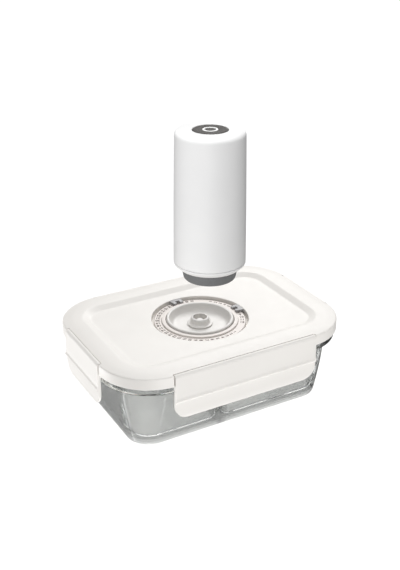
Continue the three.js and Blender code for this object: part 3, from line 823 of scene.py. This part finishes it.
# ---------------------------------------------------------------- dial
def valve_dish():
    """The dish, with a wide rounded lip, a hole for the valve's stem and four vents round it."""
    r, top, under = DISH.radius, DISH.z1, DISH.z0
    seat, floor = DIAL_FLOOR + 0.3, 58.0
    stem_hole, vent_r, vent_circle = 3.0, 0.9, 7
    profile = eased([
        (stem_hole, under, 0),
        (DISH_BODY - 1, under, 0.6),
        (DISH_BODY, under + 0.8, 0.4),
        (DISH_BODY, seat, 0.2),
        (r, seat, 0.2),
        (r, top - 1.6, 0.3),
        (r - 0.2, top, 1.0),
        (r - 2.4, top, 1.0),
        (r - 3.0, 62.2, 0.8),
        (r - 4.1, 59.8, 1.0),
        (r - 5.3, floor + 0.3, 0.8),
        (19.6, floor, 0.9),
        (stem_hole, floor, 0),
    ], closed=True, steps=8)
    low, high = under - 1.5, floor + 2
    drill = [(0.01, low), (vent_r, low), (vent_r, high), (0.01, high)]
    vents = [turned(drill, False, *polar(vent_circle, 45 + 90 * i), 24) for i in range(4)]
    return smoothed(carved(as_object("dish", turned(profile)), vents), 32)


def polar(radius, degrees):
    a = math.radians(degrees)
    return radius * math.cos(a), radius * math.sin(a)


TRACK_Z, COLLAR_R = 61.2, 30.0  # the numbers' track, and the collar inside it


def date_ring():
    """The ring of the dial: a flat track round a raised collar."""
    low, high = RING.z0, RING.z1
    inner, outer = 27.1, RING.radius
    profile = eased([
        (inner, low, 0.2),
        (outer, low, 0.2),
        (outer, TRACK_Z - 0.1, 0.35),
        (COLLAR_R, TRACK_Z, 0.15),
        (COLLAR_R, high - 0.15, 0.3),
        (inner, high, 0.3),
    ], closed=True)
    return smoothed(as_object("date_dial", turned(profile, count=192)), 32)


def release_valve():
    """The valve: a bulb under the dish, a stem, a sealing flange on its floor and a knob."""
    r, top, foot = 7.5, VALVE.z1, VALVE.z0
    flange, seat = VALVE.radius, 58.3
    stem, bulb = 2.5, 4.0
    profile = eased([
        (0.01, foot, 0),
        (bulb - 0.6, foot, 0.6),
        (bulb, 53.2, 0.4),
        (bulb, 54.0, 0.2),
        (stem, 54.3, 0.2),
        (stem, seat, 0.2),
        (flange - 0.4, seat, 0.3),
        (flange, seat + 0.4, 0.3),
        (flange - 0.2, seat + 0.9, 0.3),
        (r + 0.6, seat + 1.2, 0.6),
        (r, 60.4, 0.8),
        (r - 0.1, top - 1.0, 0.8),
        (r - 0.9, top, 0.7),
        (0.01, top, 0),
    ])
    obj = as_object("valve_knob", turned(profile, closed=False, count=96))
    return smoothed(carved(obj, [valve_pocket(top)]), 30)


def valve_pocket(top):
    """A round pocket in the knob that bends inwards round a lobe at its front."""
    depth, pocket_r, lobe_r, lobe_y, turn = 4.8, 5.5, 2.2, -4.6, -30
    meet = math.acos((pocket_r**2 + lobe_y**2 - lobe_r**2) / (2 * pocket_r * abs(lobe_y)))
    wall = np.linspace(meet - math.pi / 2, 1.5 * math.pi - meet, 60)
    points = [(pocket_r * math.cos(a), pocket_r * math.sin(a)) for a in wall]
    rise = math.atan2(points[0][1] - lobe_y, points[0][0])
    lobe = np.linspace(math.pi - rise, rise, 40)[1:-1]
    points += [(lobe_r * math.cos(a), lobe_y + lobe_r * math.sin(a)) for a in lobe]
    bm = skin([[Vector((x, y, z)) for x, y in points] for z in (top - depth, top + 1)])
    bmesh.ops.rotate(bm, matrix=Matrix.Rotation(math.radians(turn), 3, "Z"), verts=bm.verts)
    return bm


def pointer(name, degrees):
    """A saddle clip on the dial with two prongs that frame a number."""
    inner, outer, notch_r = 31.2, 37.8, 34.6
    half, notch = 7.7, 3.0  # half angles, in degrees
    low, high, hem = 61.5, 63.3, 59.6
    saddle = arc_plate([
        (outer, -half, half), (inner, half, notch), (notch_r, notch, -notch), (inner, -notch, -half),
    ], low, high)
    skirt = arc_plate([(outer, -half, half), (outer - 1.1, half, -half)], hem, low + 0.05)
    obj = as_object(name, saddle)
    tool = as_object("tool", skirt)
    union = obj.modifiers.new("join", "BOOLEAN")
    union.operation = "UNION"
    union.solver = "EXACT"
    union.object = tool
    bake_modifiers(obj)
    bpy.data.objects.remove(tool)
    bevelled(obj, 0.28, angle=50)
    obj.data.transform(Matrix.Rotation(math.radians(degrees), 4, "Z"))
    return smoothed(obj, 45)


def arc_plate(arcs, low, high):
    """A flat plate bounded by arcs about the dial's centre, each (radius, from, to) in degrees."""
    points = []
    for radius, start, end in arcs:
        for degrees in np.linspace(start, end, 14):
            points.append(polar(radius, degrees))
    return skin([[Vector((x, y, z)) for x, y in points] for z in (low, high)])


DAY_ANGLE, MONTH_ANGLE = 94.0, 1.0  # where the two pointers stand, in degrees
PITCH = 7.4  # degrees between two numbers
NUMERAL_R = 33.2  # the middle of each number, which reads outwards along the radius


def numerals():
    """The days and the months round the dial, between two thin dark lines of painted shade, at the collar's
    foot and by the gap at the ring's outer edge.
    """
    marks = [(str(m), MONTH_ANGLE + PITCH * (7 - m)) for m in range(1, 13)]
    marks += [(str(d), DAY_ANGLE + PITCH * (28 - d)) for d in range(1, 32)]
    parts = [numeral(text, degrees) for text, degrees in marks]
    low, high, width = TRACK_Z - 0.05, TRACK_Z + 0.03, 0.22
    # painted shade: thin dark lines in the crease at the collar's foot and by the gap at the ring's outer
    # edge
    for shade_line_r in (COLLAR_R + 0.15, RING.radius - 0.35):
        parts.append(turned([(shade_line_r, low), (shade_line_r + width, low), (shade_line_r + width, high), (shade_line_r, high)]))
    return as_object("dial_numerals_and_shade_lines", merged(parts))


def numeral(text, degrees):
    """One number's mesh, lying on the track at its angle."""
    curve = bpy.data.curves.new("numeral", "FONT")
    curve.body = text
    curve.size = 3.6
    curve.offset = 0.09
    curve.align_x = "CENTER"
    curve.align_y = "CENTER"
    curve.extrude = 0.02
    curve.resolution_u = 3
    obj = bpy.data.objects.new("numeral", curve)
    bpy.context.collection.objects.link(obj)
    graph = bpy.context.evaluated_depsgraph_get()
    graph.update()
    mesh = bpy.data.meshes.new_from_object(obj.evaluated_get(graph))
    bpy.data.objects.remove(obj)
    x, y = polar(NUMERAL_R, degrees)
    turn = Matrix.Rotation(math.radians(degrees), 4, "Z")
    mesh.transform(Matrix.Translation((x, y, TRACK_Z + 0.02)) @ turn)
    bm = bmesh.new()
    bm.from_mesh(mesh)
    bpy.data.meshes.remove(mesh)
    return bm


# ---------------------------------------------------------------- pump
def pump_housing():
    """The pump's shell, open below, with the button's hole, the charging port and the exhaust slots."""
    seam, top = HOUSING.z0, HOUSING.z1
    low_r = HOUSING.radius
    top_r = low_r - 1.5
    deck = top - 1.8
    hole = 13.3
    wall = 2
    profile = eased([
        (low_r - 0.25, seam, 0),
        (low_r, seam + 0.3, 0.3),
        (low_r - 0.5, seam + 45.7, 12),
        (top_r, top, 4.2),
        (hole + 0.3, top, 0.6),
        (hole, top - 0.5, 0.3),
        (hole, deck, 0.2),
        (20.8, deck, 0.8),
        (top_r - wall, top - 6, 2),
        (low_r - wall, seam, 0),
    ], closed=True, steps=10)
    obj = as_object("pump_shell", turned(profile, x=PUMP_X, count=192))
    port_z = (SOCKET.z0 + SOCKET.z1) / 2
    cutters = [slot_mesh(9.7, 4.0, 12, (PUMP_X, 27, port_z), 1.98)]
    for i in (-1, 0, 1):
        cutters.append(slot_mesh(1.6, 6.0, 10, (PUMP_X + 4 * i, 26, seam + 14.7), 0.79))
    return smoothed(carved(obj, cutters), 30)


def base_cap():
    """The ring below the seam, with a spigot that goes up into the shell."""
    bottom, seam = CAP.z0, HOUSING.z0 - 0.3
    r, mouth, spigot_out, spigot_in = CAP.radius, 22.2, 24.8, 23.4
    ledge = bottom + 2.2
    profile = eased([
        (mouth, bottom, 0.3),
        (mouth + 2, bottom, 0.5),
        (r - 0.7, bottom + 2.5, 0.7),
        (r, bottom + 3.5, 0.6),
        (r, seam - 0.25, 0.25),
        (r - 0.3, seam, 0.1),
        (spigot_out, seam, 0),
        (spigot_out, CAP.z1, 0.2),
        (spigot_in, CAP.z1, 0.2),
        (spigot_in, ledge, 0.2),
        (mouth, ledge, 0.2),
    ], closed=True)
    return smoothed(as_object("pump_base", turned(profile, x=PUMP_X, count=192)), 30)


def suction_nozzle():
    """The rubber cup: its lip, its tapered wall, the shoulder held by the cap and the air hole."""
    lip_z = NOZZLE.z0
    shoulder_z, roof_z, ceiling_z = lip_z + 11.9, lip_z + 13.4, lip_z + 11
    outer, shoulder, hole = 21.8, 23.1, 6.2
    profile = eased([
        (17.8, lip_z, 0.3),
        (19.6, lip_z, 0.6),
        (20.2, lip_z + 0.8, 0.5),
        (20.8, lip_z + 3.6, 2),
        (outer, lip_z + 9.3, 0.5),
        (outer, shoulder_z, 0.2),
        (shoulder, shoulder_z, 0.2),
        (shoulder, roof_z, 0.2),
        (hole, roof_z, 0.2),
        (hole, ceiling_z, 0.4),
        (14.4, ceiling_z, 1.0),
        (15.5, lip_z + 10, 0.8),
        (17.0, lip_z + 0.9, 0.5),
    ], closed=True)
    return smoothed(as_object("nozzle_cup", turned(profile, x=PUMP_X, count=160)), 32)


def power_button():
    """The button: a stem, a flange that keeps it in the shell, and a disc with the light ring's groove."""
    r, top, foot = 12.9, BUTTON.z1, BUTTON.z0
    stem, flange, flange_low, flange_high = 2.6, 14.4, 209.8, 211.3
    groove_in, groove_out, groove_z = 4.0, 6.05, top - 1.3
    profile = eased([
        (0.01, foot, 0),
        (stem, foot, 0.3),
        (stem, flange_low, 0.5),
        (flange, flange_low, 0.2),
        (flange, flange_high, 0.2),
        (r, flange_high, 0.1),
        (r, top - 0.5, 0.4),
        (r - 0.6, top, 0.5),
        (groove_out, top - 0.12, 0.15),
        (groove_out, groove_z, 0.1),
        (groove_in, groove_z, 0.1),
        (groove_in, top - 0.15, 0.15),
        (0.01, top - 0.15, 0),
    ])
    return smoothed(as_object("button_cap", turned(profile, closed=False, x=PUMP_X, count=128)), 32)


def light_ring():
    """The diffuser ring that sits in the button's groove."""
    low, high = LIGHT.z0, LIGHT.z1 - 0.08
    inner, outer = 4.25, 5.75
    corners = [(inner, low, 0.1), (outer, low, 0.1), (outer, high, 0.25), (inner, high, 0.25)]
    profile = eased(corners, closed=True)
    return smoothed(as_object("light_diffuser", turned(profile, x=PUMP_X, count=96)))


def charging_socket():
    """A reversible charging socket's rolled steel shell."""
    z = (SOCKET.z0 + SOCKET.z1) / 2
    width, height, wall = 8.9, 3.2, 0.3
    y0, y1 = SOCKET.y0, SOCKET.y1
    middle, depth = (y0 + y1) / 2, y1 - y0
    shell = as_object("socket_shell", slot_mesh(width, height, depth, (PUMP_X, middle, z), 1.58))
    inside = slot_mesh(width - 2 * wall, height - 2 * wall, depth, (PUMP_X, middle + 1.5, z), 1.28)
    return smoothed(carved(shell, [inside]), 40)


def socket_tongue():
    """The flat tongue inside the socket that carries its contacts."""
    z = (SOCKET.z0 + SOCKET.z1) / 2
    half_width, half_height = 3.3, 0.35
    low = (PUMP_X - half_width, SOCKET.y0 + 1.4, z - half_height)
    high = (PUMP_X + half_width, SOCKET.y1 - 0.9, z + half_height)
    return smoothed(as_object("socket_tongue", box_mesh(low, high, 0.12)), 40)


# ---------------------------------------------------------------- everything in place
place(glass_box(), "container", "glass", GLASS_CLEAR, "glass_container")
place(lid_shell(), "lid", "lid_plastic", LID_WHITE, "lid_shell")
place(lid_gasket(), "lid", "silicone", SEAL_WHITE, "lid_gasket")
place(valve_dish(), "lid", "dish_plastic", DISH_WHITE, "valve_dish")
place(date_ring(), "lid", "lid_plastic", RING_CREAM, "date_ring")
place(numerals(), "lid", "lid_plastic", INK_AND_PAINTED_SHADE)
place(release_valve(), "release_valve", "dish_plastic", DISH_WHITE, "release_valve")
for latch_name, latch_turn in LATCHES:
    plate = latch(latch_name, LATCH_LENGTH[latch_turn], latch_turn)
    place(plate, latch_name, "lid_plastic", LID_WHITE, latch_name)
place(pointer("day_clip", DAY_ANGLE), "day_pointer", "clip_plastic", CLIP_GREY, "day_pointer")
place(pointer("month_clip", MONTH_ANGLE), "month_pointer", "clip_plastic", CLIP_GREY, "month_pointer")
place(pump_housing(), "pump", "pump_plastic", PUMP_WHITE, "pump_housing")
place(base_cap(), "pump", "pump_plastic", PUMP_WHITE, "base_cap")
place(suction_nozzle(), "pump", "nozzle_rubber", NOZZLE_GREY, "suction_nozzle")
place(power_button(), "power_button", "button_plastic", BUTTON_GREY, "power_button")
place(light_ring(), "power_button", "light", RING_PAINTED_GLOW, "button_light_ring")
place(charging_socket(), "pump", "steel", SOCKET_STEEL, "charging_socket")
place(socket_tongue(), "pump", "frame_plastic", FRAME_BLACK)

# the finish of each inner CAD node that is carried over
INSIDE = {
    "filter_screen": STEEL,
    "inlet_plate": FRAME_BLACK,
    "suction_hose": SEAL_WHITE,
    "inner_frame": FRAME_BLACK,
    "pump_head": FRAME_BLACK,
    "valve_plate": DISH_WHITE,
    "diaphragm": DIAPHRAGM_GREY,
    "wobble_plate": DISH_WHITE,
    "crank_case": FRAME_BLACK,
    "motor_can": STEEL,
    "motor_endcap": FRAME_BLACK,
    "rotor": COPPER,
    "motor_shaft": STEEL,
    "eccentric_wheel": DISH_WHITE,
    "battery_cell": CELL_WRAP,
    "control_board": BOARD_GREEN,
    "tact_switch": FRAME_BLACK,
    "status_led": RING_PAINTED_GLOW,
    "plate_screw_1": STEEL,
    "plate_screw_2": STEEL,
    "board_screw_1": STEEL,
    "board_screw_2": STEEL,
}
for node, material in INSIDE.items():
    mesh = frame["nodes"][node].data
    mesh.materials.clear()
    mesh.materials.append(material)
    smoothed(frame["nodes"][node], 35)


# ---------------------------------------------------------------- stage
SET_MIDDLE = Vector((0, 0, 0.1))  # where the soft lights point, in metres
PAPER_RADIANCE = 0.9
AMBIENT = 0.28


def make_floor():
    """A large sheet of white paper under the set."""
    finish = Finish("floor_paper")
    grain = finish.noise(3, detail=3)
    finish.colours(grain, (0.3, (0.93, 0.93, 0.93)), (0.7, (0.95, 0.95, 0.95)))
    finish.set(Roughness=0.9, Specular_IOR_Level=0.1)
    mesh = bpy.data.meshes.new("floor")
    edge, gap = 12.0, 0.0002
    corners = [(-edge, -edge, 0), (edge, -edge, 0), (edge, edge, 0), (-edge, edge, 0)]
    mesh.from_pydata(corners, [], [(0, 1, 2, 3)])
    floor = bpy.data.objects.new("floor", mesh)
    floor.location.z = cad_low.z - gap
    mesh.materials.append(finish.material)
    bpy.context.collection.objects.link(floor)
    floor.visible_diffuse = False  # the studio lights stand for what it reflects
    floor.visible_glossy = False
    floor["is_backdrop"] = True
    return floor


def members(*bodies):
    """A collection of the pieces on these bodies, for light linking."""
    group = bpy.data.collections.new("linked_" + bodies[0])
    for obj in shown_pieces():
        if set(bodies) & set(body_of(obj)):
            group.objects.link(obj)
    return group


def all_but(objects, name):
    """A collection that stands for everything except these objects."""
    group = bpy.data.collections.new(name)
    for obj in objects:
        group.objects.link(obj)
    for entry in group.collection_objects:
        entry.light_linking.link_state = "EXCLUDE"
    return group


def softbox(lit, shading, name, azimuth, elevation, distance, width, power, height=None):
    """A soft light aimed at the middle of the set, on the pieces in lit alone.

    The angles are in degrees, the lengths in metres and the power in watts. It is square unless it is
    given a height.
    """
    data = bpy.data.lights.new(name, "AREA")
    data.shape = "RECTANGLE"
    data.size, data.size_y = width, height or width
    data.energy = power
    light = bpy.data.objects.new(name, data)
    outward = heading(azimuth, elevation)
    light.location = SET_MIDDLE + outward * distance
    light.rotation_mode = "QUATERNION"
    light.rotation_quaternion = outward.to_track_quat("Z", "Y")
    light.light_linking.receiver_collection = lit
    light.light_linking.blocker_collection = shading
    light.visible_camera = False
    bpy.context.collection.objects.link(light)


def paper_light(floor, radiance):
    """An even light on the paper alone, so that it stays white out to the edges of the view."""
    data = bpy.data.lights.new("paper_light", "SUN")
    data.energy = radiance * math.pi
    data.angle = 0.5
    light = bpy.data.objects.new("paper_light", data)
    bpy.context.collection.objects.link(light)
    only_paper = bpy.data.collections.new("lit_paper")
    only_paper.objects.link(floor)
    light.light_linking.receiver_collection = only_paper
    light.light_linking.blocker_collection = all_but(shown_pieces(), "paper_unshaded")


def make_world(ambient):
    """White paper to the camera and through glass, and a dim studio in all that it lights."""
    world = bpy.data.worlds.new("studio")
    world.use_nodes = True
    tree = world.node_tree
    studio = tree.nodes["Background"]
    studio.inputs["Color"].default_value = (1, 1, 1, 1)
    studio.inputs["Strength"].default_value = ambient
    white = tree.nodes.new("ShaderNodeBackground")
    white.inputs["Color"].default_value = (1, 1, 1, 1)
    path = tree.nodes.new("ShaderNodeLightPath")
    seen = tree.nodes.new("ShaderNodeMath")
    seen.operation = "MAXIMUM"
    mix = tree.nodes.new("ShaderNodeMixShader")
    tree.links.new(path.outputs["Is Camera Ray"], seen.inputs[0])
    tree.links.new(path.outputs["Is Transmission Ray"], seen.inputs[1])
    tree.links.new(seen.outputs["Value"], mix.inputs["Fac"])
    tree.links.new(studio.outputs["Background"], mix.inputs[1])
    tree.links.new(white.outputs["Background"], mix.inputs[2])
    tree.links.new(mix.outputs["Shader"], tree.nodes["World Output"].inputs["Surface"])
    bpy.context.scene.world = world


def light_the_studio(floor):
    """Soft lights for the pump, the lid and the glass, each group lit by its own and shaded by no other."""
    pump = members("pump", "power_button", "rotor")
    lid = members("lid", "release_valve", "day_pointer", "month_pointer", *dict(LATCHES))
    glass = members("container")
    lid_shading = all_but([floor, *pump.objects, *glass.objects], "lid_shading")
    pump_shading = all_but([floor, *lid.objects, *glass.objects], "pump_shading")
    clear = all_but([floor, *pump.objects, *lid.objects, *glass.objects], "glass_shading")
    # name, azimuth, elevation, distance, size, power
    for row in (
        ("pump_front", -36, 8, 2, 1.0, 19),
        ("pump_left", -105, 8, 2, 1.0, 9),
        ("pump_top", 0, 88, 2, 0.6, 28),
        ("pump_back", 135, 8, 2, 1.0, 6),
    ):
        softbox(pump, pump_shading, *row)
    for row in (
        ("lid_front", 0, -18, 2, 1.0, 24),
        ("lid_left", -128, -18, 2, 1.0, 31),
        ("lid_back", 140, 36, 1.3, 0.7, 9),
        ("lid_top", 0, 88, 2, 0.8, 13.5),
        ("lid_key", -30, 50, 2, 0.6, 1.5),
        ("lid_under", 0, -88, 1.5, 1.0, 10),
    ):
        softbox(lid, lid_shading, *row)
    # tall strips below the horizon, where upright glass mirrors them to a camera above it
    for row in (
        ("glass_left", -112, -34, 1.2, 0.12, 1.2),
        ("glass_front", 16, -36, 1.2, 0.06, 0.5),
    ):
        softbox(glass, clear, *row, height=1.0)


paper = make_floor()
paper_light(paper, PAPER_RADIANCE)
make_world(AMBIENT)
light_the_studio(paper)
bpy.context.scene.view_settings.view_transform = "Standard"
